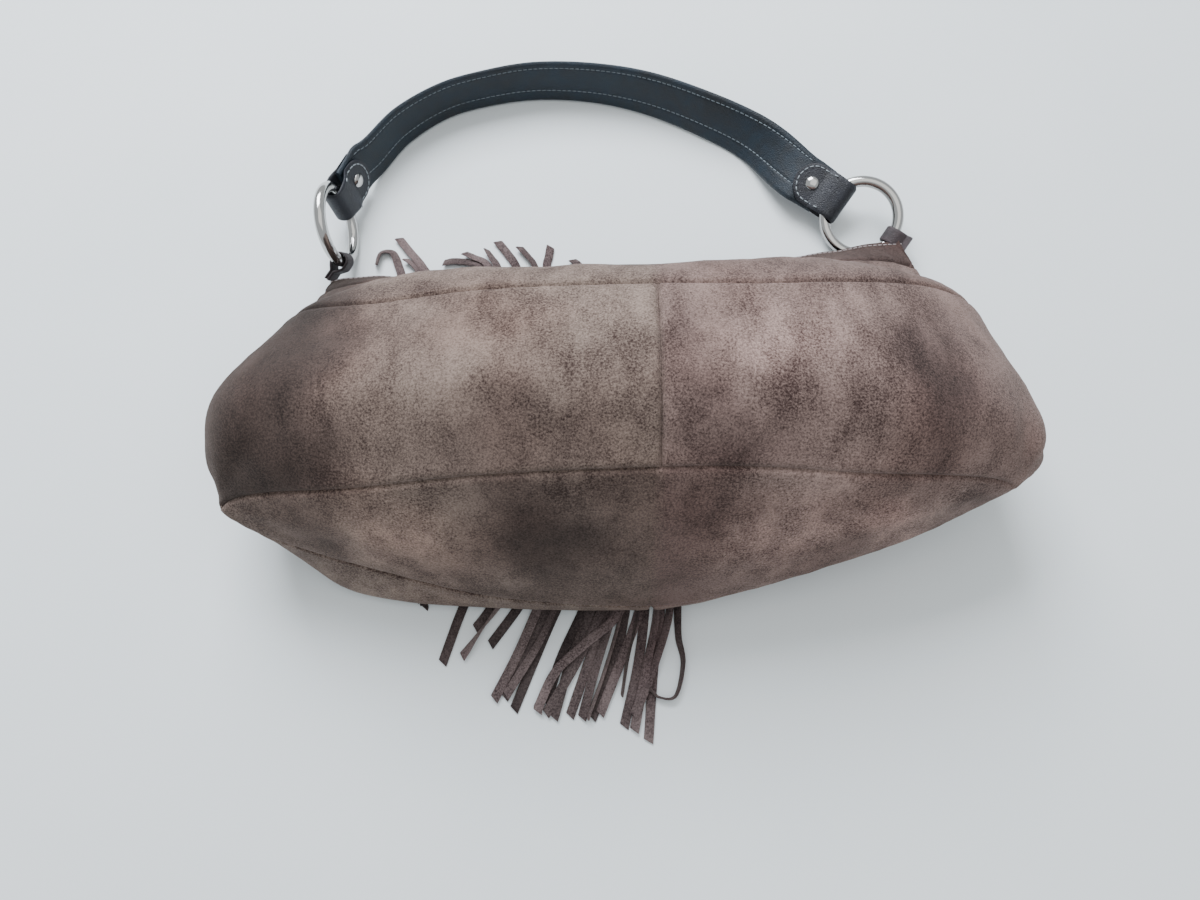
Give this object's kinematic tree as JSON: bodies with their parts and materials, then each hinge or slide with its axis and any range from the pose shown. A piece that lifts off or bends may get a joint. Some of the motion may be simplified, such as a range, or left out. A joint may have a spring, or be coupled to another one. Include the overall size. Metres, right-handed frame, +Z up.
{
  "type": "fringed suede bag",
  "caption": "Soft suede shoulder bag lying on its front, with a pointed base panel, a leather strap on metal rings and a cut fringe spreading from under it.",
  "frame": {"origin": "middle of the whole object's box, on the table that it lies on", "axes": "+Z up from the table, +Y from the base panel towards the mouth and the strap, +X to the right as seen from the base side"},
  "size_m": [0.399, 0.3878, 0.123],
  "materials": {
    "suede": "brushed suede nap, matt",
    "strap_leather": "smooth, low sheen",
    "polished_metal": "polished",
    "lining_cloth": "plain weave"
  },
  "bodies": {
    "bag": {"back_panel_left": "suede", "back_panel_right": "suede", "back_yoke": "suede", "back_hem": "suede", "front_panel_left": "suede", "front_panel_right": "suede", "front_yoke": "suede", "front_hem": "suede", "base_panel": "suede", "fringe_base_side": "suede", "fringe_base_side_upper": "suede", "fringe_mouth_side": "suede", "lining": "lining_cloth", "snap_socket": "polished_metal", "snap_stud": "polished_metal"},
    "handle": {"strap": "strap_leather", "strap_end_left": "strap_leather", "strap_end_right": "strap_leather", "ring_tab_left": "strap_leather", "ring_tab_right": "strap_leather", "rivet_left": "polished_metal", "rivet_right": "polished_metal"},
    "left_ring": {"ring_left": "polished_metal"},
    "right_ring": {"ring_right": "polished_metal"}
  },
  "joints": [
    {"name": "handle_swing", "type": "hinge", "parent": "bag", "child": "handle", "pos_m": [-0.16148, 0.06331, 0.01818], "axis": [0.9981, 0.0592, -0.016], "range_deg": [0, 80]},
    {"name": "ring_left_turn", "type": "hinge", "parent": "handle", "child": "left_ring", "pos_m": [-0.1609, 0.08559, 0.0244], "axis": [0.979, 0.04, 0.1998], "continuous": true},
    {"name": "ring_right_turn", "type": "hinge", "parent": "handle", "child": "right_ring", "pos_m": [0.1381, 0.09709, 0.013], "axis": [-0.1504, -0.381, 0.9123], "continuous": true}
  ]
}
